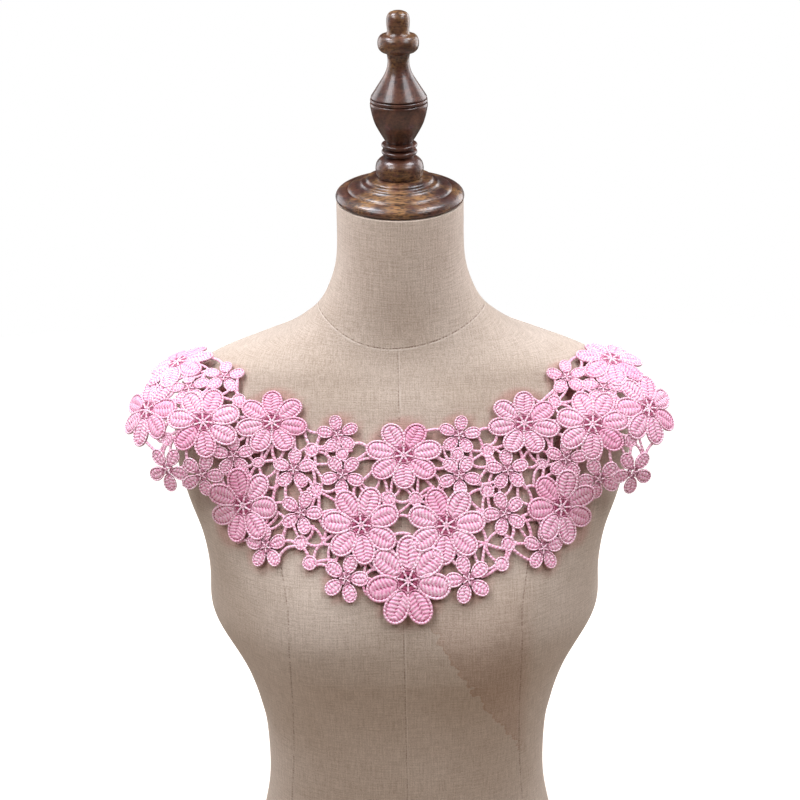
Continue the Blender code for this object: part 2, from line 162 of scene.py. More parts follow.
formShape = {
    # a row for each section: height, half width, reach to the front and to the back,
    # squareness (2 is an ellipse), and degrees that it tilts down to the front
    "sections": (
        (0, 158, 104, 108, 2.3, 0), (60, 145, 100, 107, 2.3, 0), (124, 128.8, 92, 92, 2.2, 0),
        (170, 120.5, 87, 82, 2.2, 0), (221, 121, 90, 82, 2.2, 0), (252, 126.5, 96, 86, 2.2, 0),
        (276, 132.3, 103, 90, 2.2, 0), (297, 137.3, 110, 95, 2.2, 0),
        (315, 141.8, 115, 98, 2.2, 0), (343, 151.2, 116.5, 101, 2.2, 0),
        (376, 160.3, 110, 103, 2.25, 0), (404, 167.2, 100.5, 104, 2.3, 0),
        (432, 176.8, 90, 104, 2.35, 0), (465, 185, 78, 103, 2.35, 0), (495, 185, 67, 101, 2.3, 0),
        (518, 180.5, 59.5, 97, 2.2, 1), (533, 171, 54.5, 94, 2.1, 3), (544, 156, 51.5, 91, 2.05, 5),
        (554, 128, 49, 87, 2, 7), (562, 102.5, 47.5, 83, 2, 8.5), (571, 84.5, 46.5, 78, 2, 10.5),
        (583, 69, 46, 72, 2, 12), (600, 58, 46.5, 64, 2, 13.5), (625, 50.5, 48, 55, 2, 14.5),
        (667.2, 49.5, 49.5, 49.5, 2, 14.5)),
    # where each bulge is, how far it stands out and how it spreads: the bust's place and width
    # are across the front, and the flank's are degrees round from it
    "bust": {"at": 82.0, "height": 345.0, "proud": 16.0, "wide": 46.0, "tall": 58.0},
    "flank": {"at": 88.0, "height": 331.0, "proud": 13.0, "wide": 39.0, "tall": 34.0},
    "around": 160, "stepsPerSection": 6,
}


def bulgeAt(bulge, at, height):
    away = ((at - bulge["at"]) / bulge["wide"]) ** 2
    away += ((height - bulge["height"]) / bulge["tall"]) ** 2
    return bulge["proud"] * np.exp(-away)


def formPoint(row, angle):
    # angle 0 is the centre front, and 90 degrees is at +X
    height, half, front, back, square, tilt = row
    side, ahead = sin(angle), cos(angle)
    left = 1 if side > 0 else -1
    x = left * half * abs(side) ** (2.0 / square)
    y = abs(ahead) ** (2.0 / square) * (-front if ahead > 0 else back)
    if ahead > 0:
        y -= bulgeAt(formShape["bust"], abs(x), height) * ahead ** 0.5
    x += left * bulgeAt(formShape["flank"], degrees(atan2(abs(side), ahead)), height)
    return x, y, height + (y - (back - front) / 2) * tan(radians(tilt))


# Where the linen's panels are sewn.
seams = {
    "neckX": (-110.0, -62.0, -45.0, -30.0, -15.0, 0.0, 15.0, 30.0, 45.0, 62.0, 110.0),
    "neckZ": (600.0, 580.5, 567.5, 561.0, 558.7, 558.0, 560.0, 565.0, 570.5, 580.5, 600.0),
    "neckBack": 20.0,  # the neck seam ends this far behind the middle
    "princessZ": (0.0, 212.0, 317.0, 370.0, 397.0, 440.0, 520.0),
    "princessX": (112.0, 93.5, 88.0, 88.0, 93.0, 104.0, 128.0),
    "centreTop": 558.0, "centreX": -2.2, "centreLean": 0.01,
    "width": 0.8, "core": 0.2,  # a seam's line fades from its core to its width
    "beside": 1.1,  # from a fold of cloth to its row of needle holes
    "stitch": 2.4, "away": 50.0,  # away: no seam is near
}
neckCurve = np.polynomial.Polynomial.fit(seams["neckX"], seams["neckZ"], 6)
# painted pink bounce light on the cloth round the lace: mm outside it, the share of a motif's
# radius that is all lace, and how far off the form it may hang
paintedBounceSpread = {"reach": 3.5, "core": 0.85, "hang": 15.0}

linenLook = {
    "thin": "#B09F90", "thick": "#D0C0B2", "cloud": "#D9CDBD", "waterMark": "#DCBFB0",
    # on the next line, the last colour is painted pink bounce light from the lace
    # on the next line, the pale fold colour is a painted highlight along the seams' folds
    "foldHighlight": "#F0E6DA", "needleHole": "#7A6152", "paintedLaceBounce": "#F3C0C2",
    # mm: a slub's width and length, and the sizes of specks, clouds, the tide line's notches
    # and the seams' worn places
    "slubSize": (1.0, 16.6667), "speckSize": 0.90909, "cloudSize": 90.909,
    "notchSize": 8.3333, "wornSize": 3.0303,
    # the water mark, in metres: its tide line crosses the front at x = start - slope * z
    "start": 0.2178, "slope": 0.555, "ragged": 0.02, "side": 0.089, "top": 0.40,
}


def linenMaterial():
    # Natural linen, plain woven from slubby flax and stretched over the form: dry and matt,
    # finely speckled where its threads thicken. Real threads are 0.6 mm apart, and their
    # slubs are drawn 1 mm wide and 17 mm long so that they show.
    made, node, shader = newMaterial("naturalLinen")
    look = linenLook
    weave = node("UVMap", {"uv_map": "weave"})
    place = node("TexCoord").outputs["Object"]

    def slubs(size, seed):
        stretch = (*perMetre(size), 1.0)
        placed = node("Mapping", None, weave, Location=(seed, seed, 0), Scale=stretch)
        return node("TexNoise", None, placed, Scale=1.0, Detail=2.0)

    warp, weft = slubs(look["slubSize"], 0.0), slubs(look["slubSize"][::-1], 5.0)
    speck = node("TexNoise", None, place, Scale=perMetre(look["speckSize"]), Detail=1.0)
    grain = node("Math", timesPlus, node("Math", plus, warp, weft), 0.31,
                 node("Math", times, speck, 0.38))
    tone = node("ValToRGB", {"stops": ((0.39, look["thin"]), (0.61, look["thick"]))}, grain)
    clouds = node("TexNoise", None, place, Scale=perMetre(look["cloudSize"]), Detail=2.0)
    clouds = node("MapRange", None, clouds, 0.4, 0.7, To_Max=0.3)
    tone = node("Mix", tintColour, clouds, tone, rgba(look["cloud"]))

    # an old water mark from the bust down to the side seam: browner inside a ragged tide line
    axes = node("SeparateXYZ", None, place).outputs
    ragged = node("TexNoise", None, place, Scale=perMetre(look["notchSize"]), Detail=3.0)
    ragged = node("Math", timesPlus, ragged, look["ragged"], -look["ragged"] / 2)
    slope = node("Math", timesPlus, axes["Z"], look["slope"], -look["start"])
    tide = node("Math", plus, node("Math", plus, axes["X"], slope), ragged)
    marked = node("MapRange", None, tide, 0.0, 0.0012)
    beforeSide = node("MapRange", None, axes["X"], look["side"] + 0.012, look["side"])
    belowTop = node("MapRange", None, axes["Z"], look["top"], look["top"] - 0.07)
    inFront = node("Math", {"operation": "LESS_THAN"}, axes["Y"], 0.0)
    for limit in (beforeSide, belowTop, inFront):
        marked = node("Math", times, marked, limit)
    line = node("Math", times, node("MapRange", None, tide, 0.003, 0.0008), marked)
    depth = node("Math", timesPlus, line, 0.25, node("Math", times, marked, 0.4))
    tone = node("Mix", tintColour, depth, tone, rgba(look["waterMark"]))

    # seams: a painted highlight along a fold of cloth, with a row of needle holes beside it, worn
    # unevenly
    def nearSeam(name, aside):
        offset = node("Attribute", {"attribute_name": name}).outputs["Fac"]
        offset = node("Math", unsigned, node("Math", plus, offset, aside))
        return node("MapRange", None, offset, seams["width"], seams["core"])

    def needleHoles(axis, depth, least):
        wave = node("Math", sine, node("Math", times, axis, 2 * pi / (seams["stitch"] * mm)))
        return node("Math", timesPlus, wave, depth, least)

    worn = node("TexNoise", None, place, Scale=perMetre(look["wornSize"]), Detail=1.0)
    worn = node("MapRange", None, worn, 0.3, 0.62)
    centre = node("Math", times, nearSeam("centreSeam", 0.0), 0.6)
    foldHighlights = node("Math", larger, nearSeam("neckSeam", seams["beside"]), centre)
    foldHighlights = node("Math", times, foldHighlights, node("Math", timesPlus, worn, 0.36, 0.04))
    tone = node("Mix", mixColour, foldHighlights, tone, rgba(look["foldHighlight"]))
    centre = node("Math", times, nearSeam("centreSeam", seams["beside"]), 0.8)
    panels = node("Math", larger, nearSeam("sideSeam", 0.0), centre)
    panels = node("Math", times, panels, needleHoles(axes["Z"], 0.3, 0.6))
    neck = node("Math", times, nearSeam("neckSeam", 0.0), needleHoles(axes["X"], 0.35, 0.65))
    seamLine = node("Math", times, node("Math", larger, neck, panels), worn)
    depth = node("Math", times, seamLine, 0.85)
    tone = node("Mix", mixColour, depth, tone, rgba(look["needleHole"]))

    # painted pink bounce light: a faint pink tint on the cloth beneath and just round the lace,
    # standing in for the light that its threads reflect onto it
    pink = node("Attribute", {"attribute_name": "laceNear"}).outputs["Fac"]
    pink = node("Math", times, pink, 0.5)
    tone = node("Mix", tintColour, pink, tone, rgba(look["paintedLaceBounce"]))
    height = node("Math", times, node("Math", minus, grain, seamLine), 2.0)
    bump = node("Bump", None, Strength=0.5, Distance=0.0004, Height=height)
    setInputs(shader, Base_Color=tone, Normal=bump, Roughness=0.92, Specular_IOR_Level=0.25,
              Sheen_Weight=0.1, Sheen_Roughness=0.5)
    return made


def seamOffsets(x, y, z):
    # mm across the neck, centre and princess seams, plus on one side, or far away at the back
    neck = centre = princess = seams["away"]
    if y < seams["neckBack"] and abs(x) < seams["neckX"][-1]:
        neck = z - neckCurve(x)
    if y < 0 and z < seams["centreTop"]:
        centre = x - seams["centreX"] - seams["centreLean"] * (seams["centreTop"] - z)
    if y < 0 and z < seams["princessZ"][-1]:
        princess = abs(x) - np.interp(z, seams["princessZ"], seams["princessX"])
    return neck, centre, princess


def paintedBounceMask(points):
    # how strong the painted pink bounce light is: 1 where the lace lies on the form, down to 0 a
    # little way outside its edge
    chart = flattened(points)
    laid, _ = onDrape(chart)
    edge = np.full(len(points), paintedBounceSpread["reach"])
    for motif in motifList():
        away = np.linalg.norm(chart - motif["place"], axis=1) - paintedBounceSpread["core"] * motif["radius"]
        edge = np.minimum(edge, np.maximum(away, 0.0))
    touching = np.linalg.norm(laid - points, axis=1) < paintedBounceSpread["hang"]
    return (1 - edge / paintedBounceSpread["reach"]) * touching


def buildForm():
    rows = refined(np.array(formShape["sections"], dtype=float), formShape["stepsPerSection"])
    bm = bmesh.new()
    names = ("neckSeam", "centreSeam", "sideSeam", "laceNear")
    verts, turn, up = gridParts(bm, formShape["around"], len(rows) - 1, names)
    layers = [bm.verts.layers.float[name] for name in names]
    grid = np.zeros((len(rows), formShape["around"] + 1, 3))
    where = {}
    for vert, t, u in zip(verts, turn, up):
        r, m = int(round(u * (len(rows) - 1))), int(round(t * formShape["around"]))
        vert.co = grid[r, m] = formPoint(rows[r], 2 * pi * t)
        where[vert] = (r, m)
        for layer, offset in zip(layers, seamOffsets(*vert.co)):
            vert[layer] = offset
    for vert, near in zip(verts, paintedBounceMask(np.array([vert.co for vert in verts]))):
        vert[layers[-1]] = near
    # the weave is laid out true to size both ways from the centre front, and meets at the back
    weave = bm.loops.layers.uv.new("weave")
    along = np.cumsum(np.linalg.norm(np.diff(grid, axis=1), axis=2), axis=1) * mm
    along = np.pad(along, ((0, 0), (1, 0)))
    above = np.linalg.norm(np.diff(grid, axis=0), axis=2).mean(axis=1) * mm
    above = np.append(0.0, np.cumsum(above))
    for face in bm.faces:
        left = any(where[vert][1] > formShape["around"] / 2 for vert in face.verts)
        for loop in face.loops:
            r, m = where[loop.vert]
            loop[weave].uv = (along[r, m] - left * along[r, -1], above[r])
    closeShell(bm)
    piece = finishPiece("linenForm", bm, linenMaterial())
    piece.data.set_sharp_from_angle(angle=sharpAngle)
    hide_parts("dress_form")


turnedParts = {
    "lean": 14.5, "centre": (0.0, 0.0, 670.0), "segments": 96,
    # radius and height along the leaning axis, from the top down
    "cap": ((19.0, 15.6), (25.4, 14.4), (26.2, 12.6), (29.8, 11.6), (30.6, 10.2), (39.6, 7.2),
            (40.6, 5.9), (41.8, 6.4), (46.0, 5.0), (48.8, 3.2), (50.0, 0.8), (49.7, -1.0),
            (48.4, -2.4)),
    "finial": ((3.5, 138.2), (6.4, 136.9), (8.2, 134.1), (8.5, 129.7), (8.5, 122.4),
               (12.6, 121.4), (14.7, 118.8), (15.2, 115.4), (14.5, 112.0), (12.2, 109.6),
               (8.9, 108.6), (8.3, 106.4), (8.0, 104.6), (8.1, 101.0), (8.9, 97.0),
               (10.8, 92.6), (13.7, 88.0), (17.0, 83.0), (19.6, 79.0), (20.9, 77.0),
               (20.9, 76.4), (20.0, 75.9), (21.2, 75.4), (21.5, 74.2), (21.2, 73.4),
               (20.3, 73.0), (21.4, 72.4), (21.7, 71.0), (21.0, 66.4),
               (19.9, 61.6), (18.3, 56.8), (16.0, 52.2), (13.3, 47.6), (10.6, 43.2),
               (9.9, 42.4), (13.3, 41.2), (13.6, 39.6), (12.0, 38.0), (10.6, 37.2),
               (13.2, 36.0), (13.6, 34.4), (12.0, 32.6), (10.4, 31.6), (14.6, 29.6),
               (17.6, 26.4), (18.5, 22.6), (18.3, 18.6), (17.4, 15.9)),
    "rounding": 3,  # points for each row of a profile
}


def rounded(profile):
    # a profile with more points, on a cubic curve that is held tight at corners
    line = np.array(profile)
    ends = np.vstack((line[0], line, line[-1]))
    steps = turnedParts["rounding"]
    out = []
    for i in range(len(line) - 1):
        a, b, c, d = ends[i:i + 4]
        span = np.linalg.norm(c - b)
        before = (c - a) * span / np.linalg.norm(c - a)
        after = (d - b) * span / np.linalg.norm(d - b)
        for k in range(steps):
            u = k / steps
            out.append((2 * u ** 3 - 3 * u * u + 1) * b + (u ** 3 - 2 * u * u + u) * before
                       + (3 * u * u - 2 * u ** 3) * c + (u ** 3 - u * u) * after)
    return out + [line[-1]]


walnutLook = {
    "stain": ((0.34, "#2A1511"), (0.5, "#46261F"), (0.70, "#6A4335")),
    "rubbed": "#A67C4E", "pore": "#1C0E0B",
    # mm along X, Y and Z: the grain, the pores, those of the flat cap and the dark holes; then
    # the golden patches, the same each way
    "grainSize": (10.4167, 69.4444, 10.4167), "poreSize": (1.42857, 25.0, 1.42857),
    "capPoreSize": (9.0909, 1.25, 1.11111), "holeSize": (4.34783, 1.6129, 0.90909),
    "patchSize": 20.8333,
    # heights in metres between which the cap's golden look fades out, and the finial's top
    # takes on a share of it
    "cap": (0.694, 0.684), "top": (0.754, 0.768), "topShare": 0.45,
}


def walnutMaterial():
    # Turned walnut, stained dark and waxed to a satin: open pores speckle it all over, along
    # the finial and across the flat cap, and both show golden wood where hands rub them.
    # Real pores are 0.2 mm wide, and they are drawn up to 1.6 mm wide so that they show.
    made, node, shader = newMaterial("stainedWalnut")
    look = walnutLook
    place = node("TexCoord").outputs["Object"]
    leaning = (radians(turnedParts["lean"] - 90), 0.3, 0.2)

    def drawnOut(size, turn, **more):
        # its cells are sized along the axes first, and the turn then breaks up their rows
        laid = node("Mapping", None, place, Rotation=turn, Scale=perMetre(size))
        return node("TexNoise", None, laid, Scale=1.0, **more)

    grain = drawnOut(look["grainSize"], leaning, Detail=8.0, Roughness=0.62, Distortion=1.4)
    tone = node("ValToRGB", {"stops": look["stain"]}, grain)
    axes = node("SeparateXYZ", None, place).outputs
    onTop = node("MapRange", None, axes["Z"], *look["top"])
    onTop = node("Math", times, onTop, look["topShare"])
    onCap = node("MapRange", None, axes["Z"], *look["cap"])
    onCap = node("Math", larger, onCap, onTop)
    pores = node("Mix", mixValue, onCap, drawnOut(look["poreSize"], leaning, Detail=2.0),
                 drawnOut(look["capPoreSize"], (0.2, 0.1, 0.1), Detail=3.0))

    # golden patches, most of them in the middle, that show between the pores
    patches = node("TexNoise", None, place, Scale=perMetre(look["patchSize"]), Detail=3.0)
    aside = node("Math", times, node("Math", unsigned, axes["X"]), 3.5)
    rubbed = node("MapRange", None, node("Math", minus, patches, aside), 0.34, 0.56)
    rubbed = node("Math", times, rubbed, node("Math", timesPlus, onCap, 0.7, 0.1))
    rubbed = node("Math", times, rubbed, node("MapRange", None, pores, 0.36, 0.53))
    tone = node("Mix", mixColour, rubbed, tone, rgba(look["rubbed"]))
    holes = drawnOut(look["holeSize"], (0.2, 0.1, 0.25), Detail=1.5)
    holes = node("MapRange", None, holes, 0.5, 0.36)
    holes = node("Math", times, holes, node("Math", timesPlus, onCap, 0.5, 0.25))
    tone = node("Mix", mixColour, holes, tone, rgba(look["pore"]))
    height = node("Math", minus, pores, holes)
    bump = node("Bump", None, Strength=0.3, Distance=0.0004, Height=height)
    setInputs(shader, Base_Color=tone, Normal=bump, Roughness=0.36, Specular_IOR_Level=0.4,
              Coat_Weight=0.4, Coat_Roughness=0.14)
    return made


def buildTurned(name, profile, material, stands):
    bm = bmesh.new()
    points = [bm.verts.new((radius, 0.0, height)) for radius, height in rounded(profile)]
    edges = [bm.edges.new(pair) for pair in zip(points, points[1:])]
    bmesh.ops.spin(bm, geom=points + edges, axis=(0, 0, 1), cent=(0, 0, 0), angle=2 * pi,
                   steps=turnedParts["segments"], use_merge=True)
    closeShell(bm)
    lean = Matrix.Rotation(radians(turnedParts["lean"]), 4, "X")
    bmesh.ops.transform(bm, matrix=Matrix.Translation(turnedParts["centre"]) @ lean, verts=bm.verts)
    piece = finishPiece(name, bm, material)
    piece.data.set_sharp_from_angle(angle=sharpAngle)
    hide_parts(stands)


# How the collar lies: over the form, seen square on from a plane that leans back.
drape = {"lean": 45.0, "middle": (0.0, 0.0, 480.0), "across": (-252.0, 252.1),
         "up": (-190.0, 114.1),
         "step": 4.0, "far": 300.0,  # mm between its points, and from the plane to where rays start
         "clear": 1.6,  # mm from form to lace, measured square to the form
         "steepest": 0.3,  # cosine of the steepest slope that counts
         "rounds": 40, "finer": 4,  # how often it is smoothed, and how many times finer it gets
         "settle": 5}  # rounds that lay a flat shape on it
shoulder = {"centre": (150.0, 2.0, 468.0), "radii": (80.0, 74.0, 80.0)}
planeTurn = radians(drape["lean"])
middle = np.array(drape["middle"])
drapeAxes = np.array([(1, 0, 0), (0, sin(planeTurn), cos(planeTurn)),
                      (0, -cos(planeTurn), sin(planeTurn))])


def drapeReach(tree, across, up):
    # how far out the form, or the lace past its shoulder, stands from the leaning plane
    x, t, out = drapeAxes
    start = middle + across * x + up * t + drape["far"] * out
    place, normal, _, _ = tree.ray_cast(Vector(start * mm), Vector(-out))
    best = -drape["far"] / 2
    if place is not None:
        slope = max(drape["steepest"], normal.dot(Vector(out)))
        best = (np.array(place) / mm - middle) @ out + drape["clear"] / slope
    centre = np.array(shoulder["centre"]) * (1 if across > 0 else -1, 1, 1)
    radii = np.array(shoulder["radii"])
    p, d = (start - centre) / radii, -out / radii
    a, b, c = d @ d, p @ d, p @ p - 1
    if b * b > a * c:
        best = max(best, drape["far"] - (-b - (b * b - a * c) ** 0.5) / a)
    return best


def makeDrape(formNode):
    mesh = formNode.data
    tree = BVHTree.FromPolygons([v.co for v in mesh.vertices],
                                [tuple(p.vertices) for p in mesh.polygons])
    acrosses = np.arange(*drape["across"], drape["step"])
    ups = np.arange(*drape["up"], drape["step"])
    floor = np.array([[drapeReach(tree, a, u) for a in acrosses] for u in ups])
    height = floor
    for _ in range(drape["rounds"]):
        near = np.pad(height, 1, "edge")
        rows = (near[:-2] + 2 * near[1:-1] + near[2:]) / 4
        height = np.maximum((rows[:, :-2] + 2 * rows[:, 1:-1] + rows[:, 2:]) / 4, floor)
    height = refined(refined(height, drape["finer"]).T, drape["finer"]).T
    slopeUp, slopeAcross = np.gradient(height, drape["step"] / drape["finer"])
    drape["grids"] = np.stack((height, slopeAcross, slopeUp), axis=-1)


def onDrape(chart):
    # points and outward normals of the collar's back at places in the leaning plane
    x, t, out = drapeAxes
    grids, step = drape["grids"], drape["step"] / drape["finer"]
    a = (chart[:, 0] - drape["across"][0]) / step
    u = (chart[:, 1] - drape["up"][0]) / step
    i = np.clip(a.astype(int), 0, grids.shape[1] - 2)
    j = np.clip(u.astype(int), 0, grids.shape[0] - 2)
    fa, fu = (a - i)[:, None], (u - j)[:, None]
    low = grids[j, i] * (1 - fa) + grids[j, i + 1] * fa
    high = grids[j + 1, i] * (1 - fa) + grids[j + 1, i + 1] * fa
    height, slopeAcross, slopeUp = (low * (1 - fu) + high * fu).T
    points = middle + np.outer(chart[:, 0], x) + np.outer(chart[:, 1], t) + np.outer(height, out)
    normals = out - np.outer(slopeAcross, x) - np.outer(slopeUp, t)
    return points, normals / np.linalg.norm(normals, axis=1)[:, None]


def flattened(points):
    return (points - middle) @ drapeAxes[:2].T


def layFlat(place, shape):
    # a flat shape laid on the surface round a place, true to size there
    centre, normal = onDrape(np.array([place]))
    centre, normal = centre[0], normal[0]
    side = np.cross(drapeAxes[1], normal)
    side /= np.linalg.norm(side)
    above = np.cross(normal, side)
    flat = centre + np.outer(shape[:, 0], side) + np.outer(shape[:, 1], above)
    laid = flat
    for _ in range(drape["settle"]):
        points, _ = onDrape(flattened(laid))
        laid = flat + np.outer((points - flat) @ normal, normal)
    return flattened(laid)


collar = {
    # across, up, petals (0: disc or knot), radius, height over width, first petal's turn
    "columns": ("across", "up", "petals", "radius", "tall", "turn"),
    "middle": ((3, -51, 7, 29.5, 0.88, -90), (1, -137, 7, 32.5, 1.06, 90)),
    "side": (
        (-32, -99, 7, 30, 1.0, 18), (-96, -26, 7, 28.5, 0.86, 88), (-148, -28.5, 7, 28, 0.95, 18),
        (-121.5, -79.5, 7, 28.5, 1.06, 90), (-170.5, 29, 7, 28, 1.0, 64),
        (-193, -12, 7, 28, 1.0, 40), (-132.5, 10, 5, 16.5, 0.92, 86),
        (-159, -0.5, 5, 16, 0.95, 95), (-46, -36.5, 5, 16.5, 0.9, 96),
        (-44, -64.5, 5, 17, 0.95, 120), (-81, -59, 5, 17, 0.93, 81),
        (-127, -49.5, 5, 16.5, 0.93, 100), (-77, -89, 5, 17, 1.0, 66),
        (-105, -109.5, 5, 17, 1.04, 84), (-46, -136, 5, 17.5, 1.06, 70),
        (-151.5, -62, 5, 16.5, 1.04, 66), (-178, -56.5, 5, 17, 1.05, 114),
        (-121, -10, 0, 5.5, 1, 0), (-176, -38, 0, 5.5, 1, 0), (-108, -53, 0, 5, 0.8, 0),
        (-66.5, -46.5, 0, 5.5, 1, 0), (-43.5, -50, 0, 5, 1, 0), (-64.5, -74, 0, 5.5, 1, 0),
        (-78, -110, 0, 5.7, 1, 0), (-72, -124.5, 0, 5.7, 1, 0), (-10, -81, 0, 5.5, 1, 0),
        (-61, -111, 0, 1.5, 1, 0), (-13, -98, 0, 1.5, 1, 0), (-24, -76, 0, 1.5, 1, 0),
        (-95, -70, 0, 1.5, 1, 0)),
    "askew": {"move": -5.0, "shear": -0.048, "turn": -0.016},
    # by petals: where a petal starts, its half width, and points round its plain outline
    "petalShapes": {7: (0.24, 0.285, 14), 5: (0.20, 0.30, 12)},
    "fineShapes": {7: (0.205, 0.298), 5: (0.21, 0.315)},  # the same, stitched out in full
    "broadens": (0.86, 0.22),  # a petal's width at its flower's middle, and its growth outwards
    "discPoints": 10, "heart": 0.12, "knot": 3.0,  # a smaller motif is a knot
    "cut": (0.50, 0.27), "cutArea": 0.052,  # the flat lace: its spread and its own area
    "barReach": 13.0, "barLong": 15.0, "barApart": 4.6, "barRoot": 2.2,
}


def motifList():
    # both halves; the side rows are mirrored, and all of it lies a little askew
    rows = [dict(zip(collar["columns"], row)) for row in collar["middle"] + collar["side"]]
    for row in rows[len(collar["middle"]):]:
        rows.append(dict(row, across=-row["across"], turn=180.0 - row["turn"]))
    askew = collar["askew"]
    for row in rows:
        across, up = row["across"], row["up"]
        row["place"] = (across + askew["move"] + askew["shear"] * up, up + askew["turn"] * across)
    return rows


def circle(turns):
    return np.column_stack((np.cos(turns), np.sin(turns)))


def petalLine(root, halfWidth, turns):
    # a petal's outline, along it and aside, on a flower of radius 1
    along = root + (1 - root) * (1 - np.cos(turns)) / 2
    near, growth = collar["broadens"]
    return np.column_stack((along, -halfWidth * np.sin(turns) * (near + growth * along)))


def turned(line, way):
    # a flat shape that points to +X, turned to point another way
    ahead, left = np.array((cos(way), sin(way))), np.array((-sin(way), cos(way)))
    return np.outer(line[:, 0], ahead) + np.outer(line[:, 1], left)


def plainOutlines(motif):
    # the coarse outlines that the thread bars start from
    radius = motif["radius"] * np.array((1.0, motif["tall"]))
    if not motif["petals"]:
        turns = np.arange(collar["discPoints"]) * 2 * pi / collar["discPoints"]
        return [radius * circle(turns)]
    root, halfWidth, points = collar["petalShapes"][motif["petals"]]
    line = petalLine(root, halfWidth, np.arange(points) * 2 * pi / points)
    ways = [radians(motif["turn"]) + 2 * pi * k / motif["petals"] for k in range(motif["petals"])]
    heart = circle(np.arange(2 * motif["petals"]) * pi / motif["petals"])
    return [radius * turned(line, way) for way in ways] + [radius * (root + collar["heart"]) * heart]


def inside(points, loop):
    x, y = points[:, 0, None], points[:, 1, None]
    x0, y0 = loop[:, 0], loop[:, 1]
    x1, y1 = np.roll(x0, -1), np.roll(y0, -1)
    with np.errstate(divide="ignore", invalid="ignore"):
        meets = x0 + (y - y0) * (x1 - x0) / (y1 - y0)
    rises = (y0 > y) != (y1 > y)
    return np.count_nonzero(rises & (x < meets), axis=1) % 2 > 0


def threadBars(motifs):
    # the two ends of every bar that ties a motif to a neighbour
    laid = [[layFlat(motif["place"], loop) for loop in plainOutlines(motif)] for motif in motifs]
    points = [np.vstack(loops) for loops in laid]
    lows = [p.min(axis=0) - collar["barReach"] for p in points]
    highs = [p.max(axis=0) for p in points]
    ends = []
    for i, a in enumerate(points):
        for j in range(i + 1, len(points)):
            b = points[j]
            if np.any(lows[i] > highs[j]) or np.any(lows[j] > highs[i]):
                continue
            far = np.linalg.norm(a[:, None] - b[None], axis=2)
            for m, n in enumerate(far.argmin(axis=1)):
                if far[m, n] < collar["barReach"]:
                    ends.append((a[m], b[n]))
    ends = np.array(ends)
    middles = ends.mean(axis=1)
    run = onDrape(ends[:, 0])[0] - onDrape(ends[:, 1])[0]
    free = np.linalg.norm(run, axis=1) < collar["barLong"]
    for loops in laid:
        for loop in loops:
            free &= ~inside(middles, loop)
    order = np.argsort(np.linalg.norm(ends[:, 0] - ends[:, 1], axis=1), kind="stable")
    chosen = []
    for k in order[free[order]]:
        near = np.linalg.norm(middles[chosen] - middles[k], axis=1)
        if not chosen or near.min() > collar["barApart"]:
            chosen.append(k)
    return ends[chosen]


stitchLayers = ("leafRun", "rimRun", "rim", "groove", "under", "tone")
stitches = {"leaf": 2.5, "rim": 2.4, "knot": 2.2}  # mm from stitch to stitch, and half across a knot

petalRelief = {
    # a row for each ring, from the vein to the edge and round to the back: kind, reach, height,
    # and 0 to 1 for the rim, the groove, where pinhole shade is painted, and the painted deep pink
    # shade on its edge and underside. A leaf ring's reach is its share of the way from the groove to
    # the vein, and a rim ring's is mm in from the edge
    "rings": (("leaf", 1.00, 1.35, 0, 1, 0), ("leaf", 0.84, 1.85, 0, 0.1, 0),
              ("leaf", 0.45, 2.10, 0, 0, 0), ("leaf", 0.10, 1.80, 0, 0, 0),
              ("rim", 2.20, 1.15, 0, 1, 0), ("rim", 1.85, 1.15, 1, 1, 0),
              ("rim", 1.55, 1.85, 1, 0, 0), ("rim", 0.95, 2.25, 1, 0, 0),
              ("rim", 0.35, 1.95, 1, 0, 0), ("rim", 0.00, 1.15, 1, 0, 0.55),
              ("rim", 0.20, 0.20, 1, 0, 0.5), ("back", 1.00, 0.05, 0, 0, 0.15)),
    "radius": {7: 28.5, 5: 16.8, 0: 5.5},  # of the motif that each form is made for
    "around": {7: 36, 5: 24, 0: 22},
    "scale": {7: 1.0, 5: 0.74, 0: 0.72},  # of the rim's width, and in part of its height
    "flattest": 0.45,  # share of the height that doesn't scale
    "full": 5.6,  # a petal narrower than this has its rim drawn in
    "vein": (0.13, 0.19),  # how far it stops short of root and tip, in flower's radii
    "slant": 0.28,  # how steeply the stitches run back from the vein
    "groove": 2.35,  # mm in from the edge to where the leaf starts
    # the next two rows set painted shade: how many mm of a petal's root beside the eye are painted
    # deep pink and how deep, and how deep the painted pinholes and lower edge are
    "paintedRootShade": (1.6, 0.8),  # mm of its root that shows deep pink beside the eye, and how deep
    "paintedShadeDepth": {7: 1.0, 5: 0.6, 0: 0.6},  # how deep the pinholes and the lower edge are
}


